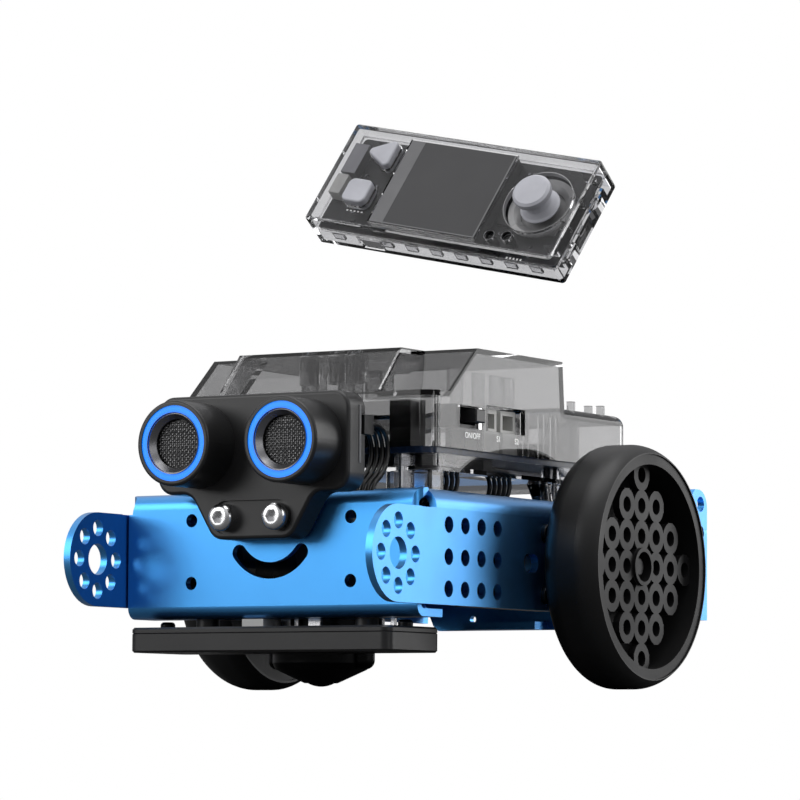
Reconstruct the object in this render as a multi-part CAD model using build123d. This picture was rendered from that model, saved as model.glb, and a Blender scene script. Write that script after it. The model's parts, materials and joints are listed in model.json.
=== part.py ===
from build123d import *
import math
import os

os.makedirs("parts", exist_ok=True)

# Frame: +Z up, floor at z = 0, the robot's front faces -Y, its left side is +X.

# ---- driving dimensions, mm ----
HOLE_PITCH = 8.0
GRID_HOLE_R = 2.1
SHEET = 2.0
BEND_R = 5.0

CHASSIS_HALF = 46.0
CHASSIS_TOP = 49.0
SIDE_BOTTOM = 20.0
FRONT_Y = -62.5
REAR_Y = 87.5
FRONT_HALF = 43.6
FLANGE_BOTTOM = 17.0
FLANGE_END_Y = -50.5
FOLD_Y = -57.5
TOP_FOLD_R = 4.0
LOW_FOLD_R = 3.0
EAR_R = 12.0
EAR_Y = -75.5
AXLE_Y = 20.5
AXLE_Z = 32.0

MOTOR_X = 33.4
WHEEL_R = 32.0
TYRE_SEAT_R = 29.4
RIM_INNER_R = 26.7
WHEEL_IN_X = 49.5
WHEEL_OUT_X = 65.0
LATTICE_OUT_X = 61.6
SHAFT_R = 3.0
RUNNING_GAP = 0.05

SENSOR_TOP = 73.0
SENSOR_FACE_Y = -71.2
SENSOR_SPLIT_Y = -66.1
EYE_X = 16.0
EYE_Z = 60.3
EYE_RIM_Y = -83.1
EYE_R = 10.8
RING_OUT_R = 9.55
RING_IN_R = 7.6
BOLT_X = 8.0
BOLT_Z = 42.0

BAR_HALF = 39.0
BAR_FRONT_Y = -68.6
BAR_REAR_Y = -43.5
BAR_BOTTOM = 8.3
BAR_SPLIT = 13.3
BAR_TOP = 14.7
BAR_SCREW = (24.0, -54.6)
BAR_CASE_SCREW = (35.9, -55.5)

CASTER_Y = -38.2
CASTER_SCREW_X = 12.8
BALL_R = 7.0

CASE_BOTTOM = 54.0
BOARD_BOTTOM = 58.4
BOARD_TOP = 60.0
SHELL_HALF = 40.5
SHELL_FRONT_Y = -50.5
SHELL_REAR_Y = 52.0
DECK_Z = 74.2
ROOF_Z = 86.2
HUMP_HALF = 24.8
CABIN_REAR_Y = 15.5
WALL = 1.3
COLUMN_XY = [(30.0, -46.5), (-30.0, -46.5), (34.0, 20.0), (-34.0, 20.0)]
PEG_R = 1.25
PEG_TALL = 2.4
PEG_XY = [(36.8, 26.5), (36.9, 42.6), (34.0, 41.1)]

PAD_L, PAD_W, PAD_T = 79.7, 32.9, 11.6
PAD_WALL = 1.3
DOCK_CENTRE = (0.0, 34.2, 80.15)
LIFT_AXIS = (0.979352, 0.158057, -0.126045)
LIFT_PIVOT = (9.506, -20.075, 85.950)
LIFT_ANGLE = 60.0

WIRE_R = 0.6


# ---- small builders ----
def block(x0, x1, y0, y1, z0, z1):
    """A box between two corners."""
    return Pos((x0 + x1) / 2, (y0 + y1) / 2, (z0 + z1) / 2) * Box(x1 - x0, y1 - y0, z1 - z0)


def rod_x(r, x0, x1, y, z):
    return Pos((x0 + x1) / 2, y, z) * Rot(0, 90, 0) * Cylinder(r, x1 - x0)


def rod_y(r, x, y0, y1, z):
    return Pos(x, (y0 + y1) / 2, z) * Rot(90, 0, 0) * Cylinder(r, y1 - y0)


def rod_z(r, x, y, z0, z1):
    return Pos(x, y, (z0 + z1) / 2) * Cylinder(r, z1 - z0)


def prism_x(face, x0, x1):
    """A face drawn in (y, z), extruded along X."""
    return extrude(Plane.YZ.offset(x0) * face, x1 - x0)


def prism_y(face, y0, y1):
    """A face drawn in (x, z), extruded along Y."""
    return extrude(Plane.XZ.offset(-y1) * face, y1 - y0)


def prism_z(face, z0, z1):
    return extrude(Plane.XY.offset(z0) * face, z1 - z0)


def outline(points):
    return make_face(Polyline(*points, close=True))


def rounded_block(x0, x1, y0, y1, z0, z1, r):
    """A box with rounded vertical edges."""
    shape = block(x0, x1, y0, y1, z0, z1)
    return fillet(shape.edges().filter_by(Axis.Z), r)


def hex_prism_y(across, x, y0, y1, z):
    radius = across / math.sqrt(3)
    return prism_y(Pos(x, z) * RegularPolygon(radius, 6), y0, y1)


def mirror_x(shape):
    return mirror(shape, about=Plane.YZ)


def both_sides(shape):
    return [shape, mirror_x(shape)]


def save(name, solids):
    """Write one node: a single shape or a list of separate solids."""
    if isinstance(solids, (list, tuple)):
        solids = Compound(children=[s for part in solids for s in part.solids()])
    export_step(solids, f"parts/{name}.step")


# ---- folded aluminium chassis ----
def chassis_shell():
    """Open-bottomed folded box behind the front fold: top, two sides and rear plate."""
    outer = block(-CHASSIS_HALF, CHASSIS_HALF, FOLD_Y, REAR_Y, FLANGE_BOTTOM, CHASSIS_TOP)
    outer = fillet(outer.edges().group_by(Axis.Z)[-1].sort_by(Axis.Y)[1:], BEND_R)
    inner = block(-44, 44, FOLD_Y - 1, REAR_Y - SHEET, 0, CHASSIS_TOP - SHEET)
    inner = fillet(inner.edges().group_by(Axis.Z)[-1].sort_by(Axis.Y)[1:], BEND_R - SHEET)
    shell = outer - inner
    for side in (-1, 1):
        low = sorted((side * FRONT_HALF, side * 50))
        shell -= block(low[0], low[1], FOLD_Y - 1, REAR_Y + 1, 10, SIDE_BOTTOM)
    return shell


def bend(y, z, r, start):
    """Quarter bend about (y, z), from angle start, turning forwards."""
    points = [math.radians(start + 45 * i) for i in range(3)]
    return ThreePointArc(*[(y + r * math.cos(a), z + r * math.sin(a)) for a in points])


def front_fold():
    """Front plate with its top bend and its foot, folded from the same sheet."""
    top_y, top_z = FRONT_Y + TOP_FOLD_R, CHASSIS_TOP - TOP_FOLD_R
    low_y, low_z = FRONT_Y + LOW_FOLD_R, FLANGE_BOTTOM + LOW_FOLD_R
    inner_y = FRONT_Y + SHEET
    edges = [
        Line((FOLD_Y, CHASSIS_TOP), (top_y, CHASSIS_TOP)),
        bend(top_y, top_z, TOP_FOLD_R, 90),
        Line((FRONT_Y, top_z), (FRONT_Y, low_z)),
        bend(low_y, low_z, LOW_FOLD_R, 180),
        Line((low_y, FLANGE_BOTTOM), (FLANGE_END_Y, FLANGE_BOTTOM)),
        Line((FLANGE_END_Y, FLANGE_BOTTOM), (FLANGE_END_Y, FLANGE_BOTTOM + SHEET)),
        Line((FLANGE_END_Y, FLANGE_BOTTOM + SHEET), (low_y, FLANGE_BOTTOM + SHEET)),
        bend(low_y, low_z, LOW_FOLD_R - SHEET, 180),
        Line((inner_y, low_z), (inner_y, top_z)),
        bend(top_y, top_z, TOP_FOLD_R - SHEET, 90),
        Line((top_y, CHASSIS_TOP - SHEET), (FOLD_Y, CHASSIS_TOP - SHEET)),
        Line((FOLD_Y, CHASSIS_TOP - SHEET), (FOLD_Y, CHASSIS_TOP)),
    ]
    return prism_x(make_face(edges), -FRONT_HALF, FRONT_HALF)


def ear_plate():
    """Left side plate's rounded front ear, with its ring of holes."""
    ear = rod_x(EAR_R, 44, CHASSIS_HALF, EAR_Y, AXLE_Z)
    ear += block(44, CHASSIS_HALF, EAR_Y, FOLD_Y + 1, AXLE_Z - EAR_R, AXLE_Z + EAR_R)
    ear -= rod_x(4.0, 40, 50, EAR_Y, AXLE_Z)
    for i in range(8):
        a = math.radians(45 * i)
        ear -= rod_x(GRID_HOLE_R, 40, 50, EAR_Y + 8 * math.cos(a), AXLE_Z + 8 * math.sin(a))
    return ear


def rear_tab():
    """Left side plate's raised rear corner, with two bumper holes."""
    face = outline([(64, 45), (REAR_Y, 45), (REAR_Y, 56), (80.5, 56), (70, 46.5)])
    tab = prism_x(face, 44, CHASSIS_HALF)
    corner = tab.edges().filter_by(Axis.X).sort_by(lambda e: e.center().Y + e.center().Z)[-1]
    tab = fillet(corner, 5.0)
    return tab


def side_holes():
    """Cutters for the left side plate: grid, motor slot, motor screws, hub boss, bumper."""
    cuts = []
    for i in range(4):
        for k in range(3):
            cuts.append(rod_x(GRID_HOLE_R, 40, 50, -51.5 + HOLE_PITCH * i, 24 + HOLE_PITCH * k))
    slot = Pos(-10.5, AXLE_Z) * SlotOverall(7.5, 4.85)
    cuts.append(prism_x(slot, 40, 50))
    for z in (24.0, 40.0):
        cuts.append(rod_x(1.7, 40, 50, -3.0, z))
    cuts.append(rod_x(5.2, 40, 50, AXLE_Y, AXLE_Z))
    for z in (36.0, 44.0, 52.0):
        cuts.append(rod_x(GRID_HOLE_R, 40, 50, 83.6, z))
    return cuts


def smile_slot():
    """Curved slot in the front plate: an arc of constant width."""
    arc = ThreePointArc((-9.3, 33.5), (0, 28.9), (9.3, 33.5))
    path = make_face(offset(arc, amount=2.1, side=Side.BOTH, kind=Kind.ARC).edges())
    return prism_y(path, FRONT_Y - 1, FRONT_Y + 3)


def caster_tongue():
    """The foot's middle part, which runs back to carry the caster."""
    tongue = block(-20, 20, FLANGE_END_Y - 1, -29.5, FLANGE_BOTTOM, FLANGE_BOTTOM + SHEET)
    return fillet(tongue.edges().filter_by(Axis.Z), 0.9)


def foot_holes():
    cuts = [rod_z(GRID_HOLE_R, x, BAR_SCREW[1], 10, 25) for x in (-BAR_SCREW[0], BAR_SCREW[0])]
    cuts += [rod_z(1.3, x, CASTER_Y, 10, 25) for x in (-CASTER_SCREW_X, CASTER_SCREW_X)]
    return cuts


def rear_plate_cuts():
    """Bottom outline of the rear plate: chamfered corners, two foot tabs, a centre slit."""
    cuts = [block(-50, 50, REAR_Y - 6, REAR_Y + 1, 10, 17.8)]
    for s in (-1, 1):
        corner = outline([(s * 38.5, 17.0), (s * 41.2, 19.2), (s * 44.2, 26.0), (s * 44.2, 17.0)])
        cuts.append(prism_y(corner, REAR_Y - 3, REAR_Y + 1))
        cuts.append(rod_y(1.0, s * 28.0, REAR_Y - 3, REAR_Y + 1, 21.0))
    cuts.append(block(-1.2, 1.2, REAR_Y - 3, REAR_Y + 1, 10, 24))
    return cuts


def chassis_plate():
    plate = chassis_shell() + front_fold() + caster_tongue()
    for part in both_sides(ear_plate()) + both_sides(rear_tab()):
        plate += part
    for s in (-1, 1):
        a, b = sorted((s * 3.7, s * 27.0))
        plate += block(a, b, REAR_Y - 9, REAR_Y - SHEET, 17.8, 20.0)
    cuts = rear_plate_cuts() + foot_holes() + [smile_slot()]
    for cut in side_holes():
        cuts += both_sides(cut)
    relief = rod_z(2.6, 44.6, FRONT_Y + 0.2, 43.9, 55)
    cuts += both_sides(relief)
    for x in (-24, 24):
        for z in (26, 42):
            cuts.append(rod_y(1.7, x, FRONT_Y - 1, FRONT_Y + 3, z))
    for x in (-BOLT_X, BOLT_X):
        cuts.append(rod_y(2.1, x, FRONT_Y - 1, FRONT_Y + 3, BOLT_Z))
    cuts.append(block(22.2, 29.2, -60.4, -56.4, 44, 55))
    cuts.append(block(29.2, 36.2, -42.4, -29.6, 46, 55))
    cuts += both_sides(block(28.8, 37.0, -18.0, -4.6, 46, 55))
    for x, y in COLUMN_XY:
        cuts.append(rod_z(1.7, x, y, 40, 55))
    for cut in cuts:
        plate -= cut
    return plate


# ---- ultrasonic sensor ----
def sensor_outline():
    """Front view of the sensor body: wide head, sloped shoulders, narrow chin."""
    right = [(28.75, SENSOR_TOP), (28.75, 48.1), (18.6, 48.1), (11.6, 36.5)]
    left = [(-x, z) for x, z in reversed(right)]
    face = outline(right + left)
    heads = face.vertices().sort_by(Axis.Y)
    face = fillet(heads, 4.5)
    return face


def sensor_front_shell():
    shell = prism_y(sensor_outline(), SENSOR_FACE_Y, SENSOR_SPLIT_Y)
    shell = fillet(shell.faces().sort_by(Axis.Y)[0].edges(), 0.9)
    hollow = block(-27.0, 27.0, SENSOR_FACE_Y + 1.6, SENSOR_SPLIT_Y + 1, 50.0, 71.2)
    shell -= fillet(hollow.edges().filter_by(Axis.Y), 3.0)
    pocket = Pos(0, BOLT_Z) * SlotOverall(24.0, 8.5)
    shell -= prism_y(pocket, SENSOR_FACE_Y - 1, SENSOR_FACE_Y + 0.8)
    for x in (-EYE_X, EYE_X):
        tube = rod_y(EYE_R, x, EYE_RIM_Y, SENSOR_FACE_Y + 1, EYE_Z)
        tube = fillet(tube.edges().sort_by(Axis.Y)[0], 0.7)
        shell += tube
        shell -= rod_y(RING_IN_R, x, EYE_RIM_Y - 1, SENSOR_SPLIT_Y + 1, EYE_Z)
        groove = rod_y(RING_OUT_R, x, EYE_RIM_Y - 1, EYE_RIM_Y + 1.6, EYE_Z)
        shell -= groove
    for x in (-BOLT_X, BOLT_X):
        shell -= rod_y(2.1, x, SENSOR_FACE_Y - 1, SENSOR_SPLIT_Y + 1, BOLT_Z)
    return shell


def sensor_rear_shell():
    shell = prism_y(sensor_outline(), SENSOR_SPLIT_Y, FRONT_Y)
    hollow = block(-27.0, 27.0, SENSOR_SPLIT_Y - 1, FRONT_Y - 1.6, 50.0, 71.2)
    shell -= fillet(hollow.edges().filter_by(Axis.Y), 3.0)
    shell = chamfer(shell.faces().sort_by(Axis.Y)[-1].edges(), 1.2)
    for x in (-BOLT_X, BOLT_X):
        shell -= rod_y(2.1, x, SENSOR_SPLIT_Y - 1, FRONT_Y + 1, BOLT_Z)
    shell -= block(22.4, 29.0, FRONT_Y - 3, FRONT_Y + 1, 62.2, 67.4)
    return shell


def sensor_light_ring(x):
    ring = rod_y(RING_OUT_R - 0.02, x, EYE_RIM_Y + 0.35, EYE_RIM_Y + 1.6, EYE_Z)
    return ring - rod_y(RING_IN_R, x, EYE_RIM_Y, EYE_RIM_Y + 2, EYE_Z)


def sensor_transducer(x):
    """Ultrasonic capsule: a metal cup with a bevelled mouth."""
    can = rod_y(RING_IN_R - 0.05, x, EYE_RIM_Y + 0.5, SENSOR_FACE_Y + 1.2, EYE_Z)
    mouth = Cone(6.2, 7.4, 1.5)
    can -= Pos(x, EYE_RIM_Y + 0.5 + 0.75, EYE_Z) * Rot(90, 0, 0) * mouth
    can -= rod_y(6.2, x, EYE_RIM_Y + 1.5, EYE_RIM_Y + 4.0, EYE_Z)
    return can


def sensor_mesh(x):
    return rod_y(6.15, x, EYE_RIM_Y + 3.2, EYE_RIM_Y + 4.0, EYE_Z)


def sensor_board():
    board = block(-26.0, 26.0, SENSOR_SPLIT_Y - 0.8, SENSOR_SPLIT_Y + 0.8, 51.0, 70.2)
    return fillet(board.edges().filter_by(Axis.Y), 2.0)


def sensor_bolt(x):
    head_y = SENSOR_FACE_Y + 0.8
    head = rod_y(3.5, x, head_y - 4.0, head_y, BOLT_Z)
    head = fillet(head.edges().sort_by(Axis.Y)[0], 1.5)
    head -= hex_prism_y(3.0, x, head_y - 5, head_y - 2.0, BOLT_Z)
    return head + rod_y(2.0, x, head_y, FRONT_Y + 6.4, BOLT_Z)


def sensor_nut(x):
    back = FRONT_Y + SHEET
    nut = hex_prism_y(7.0, x, back + 0.5, back + 3.2, BOLT_Z)
    nut += rod_y(2.4, x, back, back + 0.6, BOLT_Z)
    return nut - rod_y(2.05, x, FRONT_Y, FRONT_Y + 7, BOLT_Z)


def sensor_socket():
    """Rear cable socket set into the sensor's back."""
    body = block(22.5, 28.9, FRONT_Y - 1.6, FRONT_Y + 2.8, 62.4, 67.2)
    return body


# ---- line sensor under the nose ----
def bar_block(z0, z1):
    return rounded_block(-BAR_HALF, BAR_HALF, BAR_FRONT_Y, BAR_REAR_Y, z0, z1, 2.4)


def caster_notch(r):
    """Round notch that clears the ball caster behind the bar."""
    return rod_z(r, 0, CASTER_Y, BAR_BOTTOM - 1, BAR_TOP + 1)


def bar_screw_cuts(r, z0, z1):
    return [rod_z(r, x, BAR_SCREW[1], z0, z1) for x in (-BAR_SCREW[0], BAR_SCREW[0])]


def bar_case_screw_cuts():
    return [rod_z(1.05, x, BAR_CASE_SCREW[1], 10, 20) for x in (-BAR_CASE_SCREW[0], BAR_CASE_SCREW[0])]


def line_sensor_base():
    base = bar_block(BAR_BOTTOM, BAR_SPLIT)
    base = chamfer(base.faces().sort_by(Axis.Z)[0].edges(), 0.5)
    base = chamfer(base.faces().sort_by(Axis.Z)[-1].edges(), 0.3)
    base -= block(-34, 34, BAR_FRONT_Y + 1.6, BAR_REAR_Y - 1.6, BAR_BOTTOM + 1.6, BAR_SPLIT + 1)
    for post in bar_screw_cuts(4.0, BAR_BOTTOM + 1, BAR_SPLIT):
        base += post
    for cut in bar_screw_cuts(2.05, 10.4, 20) + bar_case_screw_cuts():
        base -= cut
    base += (caster_notch(14.6) & bar_block(BAR_BOTTOM, BAR_SPLIT)) - caster_notch(13.0)
    base -= caster_notch(13.0)
    for i in range(4):
        base -= rod_z(2.6, -13.5 + 9 * i, -61.5, 0, 12)
    return base


def line_sensor_cover():
    cover = bar_block(BAR_SPLIT, BAR_TOP)
    cover = chamfer(cover.faces().sort_by(Axis.Z)[-1].edges(), 0.5)
    for cut in bar_screw_cuts(2.1, 0, 20) + bar_case_screw_cuts():
        cover -= cut
    cover -= block(-9.5, -2.7, -61.2, -55.0, 0, 20)
    cover -= caster_notch(13.0)
    return cover


def line_sensor_board():
    board = block(-33.5, 33.5, BAR_FRONT_Y + 2.1, BAR_REAR_Y - 2.1, 11.6, BAR_SPLIT)
    for cut in bar_screw_cuts(4.3, 0, 20):
        board -= cut
    board -= caster_notch(14.9)
    return board


def line_sensor_lens(i):
    return rod_z(2.5, -13.5 + 9 * i, -61.5, BAR_BOTTOM + 0.3, 11.6)


def line_sensor_connector():
    return block(-9.3, -2.9, -61.0, -55.2, BAR_SPLIT, 16.8)


def bar_screw(x):
    """Button-head screw down through the foot and spacer into the bar."""
    head = rod_z(3.4, x, BAR_SCREW[1], FLANGE_BOTTOM + SHEET, FLANGE_BOTTOM + SHEET + 2.2)
    head = fillet(head.edges().sort_by(Axis.Z)[-1], 1.0)
    return head + rod_z(2.0, x, BAR_SCREW[1], 10.6, FLANGE_BOTTOM + SHEET)


def bar_spacer(x):
    ring = rod_z(3.0, x, BAR_SCREW[1], BAR_TOP, FLANGE_BOTTOM)
    return ring - rod_z(2.1, x, BAR_SCREW[1], 10, 20)


def bar_case_screw(x):
    """Small domed screw that holds the bar's cover."""
    y = BAR_CASE_SCREW[1]
    head = rod_z(1.9, x, y, BAR_TOP, BAR_TOP + 1.7)
    head = fillet(head.edges().sort_by(Axis.Z)[-1], 0.9)
    return head + rod_z(1.0, x, y, 10.2, BAR_TOP)


# ---- ball caster ----
def caster_housing():
    """Round cup with a conical lip that keeps the ball in, and two screw posts."""
    socket = BALL_R + 0.08
    lip_z = 0.9
    lip_r = math.sqrt(socket ** 2 - (BALL_R - lip_z) ** 2)
    outside = Polyline(
        (lip_r, lip_z), (4.3, lip_z), (11.8, 4.4), (12.5, 6.0),
        (12.5, FLANGE_BOTTOM), (0, FLANGE_BOTTOM), (0, BALL_R + socket),
    )
    inside = ThreePointArc((0, BALL_R + socket), (socket, BALL_R), (lip_r, lip_z))
    profile = make_face([outside, inside])
    body = Pos(0, CASTER_Y, 0) * revolve(Plane.XZ * profile, Axis.Z, 360)
    for x in (-CASTER_SCREW_X, CASTER_SCREW_X):
        post = rod_z(2.9, x, CASTER_Y, 4.4, FLANGE_BOTTOM)
        post = fillet(post.edges().sort_by(Axis.Z)[0], 2.3)
        post -= rod_z(11.5, 0, CASTER_Y, 0, 18)
        body += post
    for x in (-CASTER_SCREW_X, CASTER_SCREW_X):
        body -= rod_z(1.22, x, CASTER_Y, 8.9, 20)
    return body


def caster_ball():
    return Pos(0, CASTER_Y, BALL_R) * Sphere(BALL_R)


def caster_screw(x):
    """Small screw down through the foot into the housing's post."""
    seat = FLANGE_BOTTOM + SHEET
    head = rod_z(2.6, x, CASTER_Y, seat, seat + 1.6)
    head = fillet(head.edges().sort_by(Axis.Z)[-1], 0.7)
    return head + rod_z(1.2, x, CASTER_Y, 9.0, seat)


# ---- gear motors (left side; the right is its mirror) ----
def motor_gearbox():
    box = block(24.7, 44.0, -14.0, 32.5, 21.0, 43.0)
    box = fillet(box.edges().filter_by(Axis.X), 2.0)
    box += rod_x(4.9, 43.0, 47.2, AXLE_Y, AXLE_Z)
    box -= rod_x(SHAFT_R + RUNNING_GAP, 33.0, 50.0, AXLE_Y, AXLE_Z)
    for z in (24.0, 40.0):
        box -= rod_x(1.3, 32.0, 50.0, -3.0, z)
    return box


def motor_can():
    return rod_y(10.0, MOTOR_X, -34.0, -14.0, AXLE_Z)


def motor_encoder():
    cap = rod_y(10.3, MOTOR_X, -40.0, -34.0, AXLE_Z)
    cap += block(29.0, 36.8, -39.5, -35.5, AXLE_Z, 45.8)
    return cap


def motor_screw(z):
    head = rod_x(2.4, 46.0, 47.5, -3.0, z)
    head = fillet(head.edges().sort_by(Axis.X)[-1], 0.6)
    return head + rod_x(1.25, 33.0, 46.0, -3.0, z)


# ---- wheel (left side; the right is its mirror) ----
def lattice_places():
    """Ring centres of the spoke lattice, in hole pitches from the hub."""
    rows = {0: (1, 2, 3), 1: (0, 1, 2), 2: (0, 1), 3: (0,)}
    places = set()
    for c, rs in rows.items():
        for r in rs:
            places |= {(c, r), (-c, r), (c, -r), (-c, -r)}
    return sorted(places)


def lattice_disc():
    disc = Sketch() + Circle(5.3)
    for c, r in lattice_places():
        disc += Pos(HOLE_PITCH * c, HOLE_PITCH * r) * Rectangle(8.3, 2.6)
        disc += Pos(HOLE_PITCH * c, HOLE_PITCH * r) * Rectangle(2.6, 8.3)
    for c, r in lattice_places():
        disc += Pos(HOLE_PITCH * c, HOLE_PITCH * r) * Circle(4.15)
    for c, r in lattice_places():
        disc -= Pos(HOLE_PITCH * c, HOLE_PITCH * r) * Circle(2.05)
    disc &= Circle(RIM_INNER_R + 0.6)
    return disc


def wheel_rim():
    x_in, x_out = WHEEL_IN_X + 0.5, WHEEL_OUT_X - 0.4
    rim = rod_x(TYRE_SEAT_R, x_in, x_out, AXLE_Y, AXLE_Z)
    rim -= rod_x(RIM_INNER_R, x_in + 2.0, x_out + 1, AXLE_Y, AXLE_Z)
    lattice = prism_x(Pos(AXLE_Y, AXLE_Z) * lattice_disc(), LATTICE_OUT_X - 2.0, LATTICE_OUT_X)
    rim += lattice
    rim += rod_x(5.0, 47.8, LATTICE_OUT_X + 0.8, AXLE_Y, AXLE_Z)
    rim -= rod_x(SHAFT_R + 0.02, 40, LATTICE_OUT_X - 3.6, AXLE_Y, AXLE_Z)
    rim -= rod_x(1.3, 40, 70, AXLE_Y, AXLE_Z)
    rim -= rod_x(3.95, LATTICE_OUT_X - 2.0, 70, AXLE_Y, AXLE_Z)
    return rim


def wheel_tyre():
    """Crowned plain tyre; the profile is drawn as (x, radius)."""
    x0, x1 = WHEEL_IN_X, WHEEL_OUT_X
    seat = TYRE_SEAT_R + 0.02
    side = Line((x0, seat), (x0, 30.0))
    left = TangentArc((54.0, WHEEL_R), (x0, 30.0), tangent=(-1, 0))
    tread = Line((54.0, WHEEL_R), (59.0, WHEEL_R))
    right = TangentArc((59.0, WHEEL_R), (x1, 29.7), tangent=(1, 0))
    out = Line((x1, 29.7), (x1, seat))
    foot = Line((x1, seat), (x0, seat))
    face = make_face([side, left, tread, right, out, foot])
    ring = revolve(Plane.XY * face, Axis.X, 360)
    return Pos(0, AXLE_Y, AXLE_Z) * ring


def drive_shaft():
    shaft = rod_x(SHAFT_R, 34.0, LATTICE_OUT_X - 3.8, AXLE_Y, AXLE_Z)
    return shaft - rod_x(1.0, 50.0, 70, AXLE_Y, AXLE_Z)


def hub_screw():
    head = rod_x(2.5, LATTICE_OUT_X - 2.0, LATTICE_OUT_X - 0.6, AXLE_Y, AXLE_Z)
    head = fillet(head.edges().sort_by(Axis.X)[-1], 0.5)
    return head + rod_x(0.95, 51.0, LATTICE_OUT_X - 2.0, AXLE_Y, AXLE_Z)


# ---- clear shell over the main board ----
def body_profile():
    """Side view of the cabin: nose ledge, windshield, roof, rear deck."""
    points = [
        (SHELL_FRONT_Y, BOARD_TOP),
        (SHELL_FRONT_Y, DECK_Z),
        (-42.0, DECK_Z),
        (-28.6, ROOF_Z),
        (CABIN_REAR_Y, ROOF_Z),
        (CABIN_REAR_Y + 1.0, DECK_Z),
        (SHELL_REAR_Y, DECK_Z),
        (SHELL_REAR_Y, BOARD_TOP),
    ]
    return outline(points)


def hump_profile():
    """Side view of the nose hump, narrower than the cabin."""
    points = [
        (SHELL_FRONT_Y, BOARD_TOP),
        (SHELL_FRONT_Y, DECK_Z),
        (-40.0, ROOF_Z),
        (-18.0, ROOF_Z),
        (-18.0, BOARD_TOP),
    ]
    return outline(points)


def shell_body(inset):
    """The closed outer form of the cover, or its inner form when inset."""
    half, hump = SHELL_HALF - inset, HUMP_HALF - inset
    body, nose = body_profile(), hump_profile()
    if inset:
        body = offset(body, amount=-inset, kind=Kind.INTERSECTION)
        nose = offset(nose, amount=-inset, kind=Kind.INTERSECTION)
    body = prism_x(body, -half, half)
    nose = prism_x(nose, -hump, hump)
    return body, nose


def shell_cover():
    body, nose = shell_body(0)
    body = fillet(body.edges().filter_by(Axis.Z), 4.0)
    rear = body.edges().filter_by(Axis.X).sort_by(lambda e: e.center().Y + 0.2 * e.center().Z)[-1]
    body = fillet(rear, 3.0)
    cover = body + nose
    inner_body, inner_nose = shell_body(WALL)
    inner_body = fillet(inner_body.edges().filter_by(Axis.Z), 2.4)
    half = SHELL_HALF - WALL
    mouth = block(-half, half, SHELL_FRONT_Y + WALL, SHELL_REAR_Y - WALL, BOARD_TOP - 1, BOARD_TOP + 3)
    mouth = fillet(mouth.edges().filter_by(Axis.Z), 2.4)
    cover = cover - inner_body - inner_nose - mouth
    cover -= block(38, 42, -37.2, -25.7, 65.5, 71.1)
    cover -= block(38, 42, -23.2, -4.2, 65.4, 72.0)
    cover += [rod_z(PEG_R, s * x, y, DECK_Z - 0.5, DECK_Z + PEG_TALL) for x, y in PEG_XY for s in (-1, 1)]
    for x, y in ((-4.5, -36.5), (3.4, -35.2), (9.6, -36.8)):
        boss = rod_z(3.1, x, y, 77.5, ROOF_Z - 1) - rod_z(2.1, x, y, 76, ROOF_Z - 2.4)
        cover += boss
    return cover


def front_leg(x):
    """Hollow clear leg under a front corner, with a boss round the screw."""
    s = math.copysign(1, x)
    a, b = sorted((s * 26.0, s * 39.4))
    leg = rounded_block(a, b, -50.2, -42.0, CHASSIS_TOP, CASE_BOTTOM + 0.2, 1.5)
    leg -= block(a + 1.3, b - 1.3, -48.9, -43.3, CHASSIS_TOP - 1, CASE_BOTTOM)
    return leg + rod_z(2.6, x, COLUMN_XY[0][1], CHASSIS_TOP, CASE_BOTTOM + 0.2)


def rear_leg(x):
    """Tapered clear gusset leg behind the wires."""
    seat = CASE_BOTTOM + 0.2
    face = outline([(13.5, seat), (26.5, seat), (23.5, CHASSIS_TOP), (17.5, CHASSIS_TOP)])
    return prism_x(face, x - 3.2, x + 3.2)


def shell_base():
    """Lower clear case for the board and battery, on four legs that stand on the chassis."""
    half = SHELL_HALF - 0.3
    tray = rounded_block(-half, half, SHELL_FRONT_Y + 0.2, SHELL_REAR_Y - 0.2, CASE_BOTTOM, BOARD_BOTTOM, 3.8)
    inner = half - WALL
    y0, y1 = SHELL_FRONT_Y + 0.2 + WALL, SHELL_REAR_Y - 0.2 - WALL
    tray -= rounded_block(-inner, inner, y0, y1, CASE_BOTTOM + 1.2, BOARD_BOTTOM + 1, 2.5)
    for x, y in COLUMN_XY:
        tray += rod_z(2.6, x, y, CASE_BOTTOM, BOARD_BOTTOM)
        tray += front_leg(x) if y < 0 else rear_leg(x)
    tray -= block(28.9, 36.5, -42.8, -28.4, CASE_BOTTOM - 1, BOARD_BOTTOM + 1)
    for cut in both_sides(block(28.7, 37.1, -20.8, -3.0, CASE_BOTTOM - 1, BOARD_BOTTOM + 1)):
        tray -= cut
    for x, y in COLUMN_XY:
        tray -= rod_z(1.7, x, y, 40, 70)
    return tray


def main_board():
    board = rounded_block(-39.5, 39.5, SHELL_FRONT_Y + 1, SHELL_REAR_Y - 1, BOARD_BOTTOM, BOARD_TOP, 3.0)
    for x, y in COLUMN_XY:
        board -= rod_z(1.7, x, y, 50, 70)
    return board


def shell_screw(x, y):
    """Long screw from inside the chassis up through a leg and the board."""
    head = rod_z(2.6, x, y, CHASSIS_TOP - SHEET - 1.6, CHASSIS_TOP - SHEET)
    return head + rod_z(1.6, x, y, CHASSIS_TOP - SHEET, BOARD_TOP - 0.2)


def battery_cell():
    cell = block(-22.8, 22.8, -26.0, 38.0, 55.4, 58.2)
    return fillet(cell.edges().filter_by(Axis.Z), 2.5)


def speaker():
    body = rod_z(12.8, 22.0, 22.0, BOARD_TOP, 65.0)
    return fillet(body.edges().sort_by(Axis.Z)[-1], 3.0)


def switch_body():
    body = block(34.2, 38.6, -37.1, -25.8, 65.6, 71.6)
    body -= block(35.4, 39.0, -36.6, -26.4, 66.6, 71.0)
    return body + block(34.2, 36.0, -35.0, -28.0, BOARD_TOP, 66.0)


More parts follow.
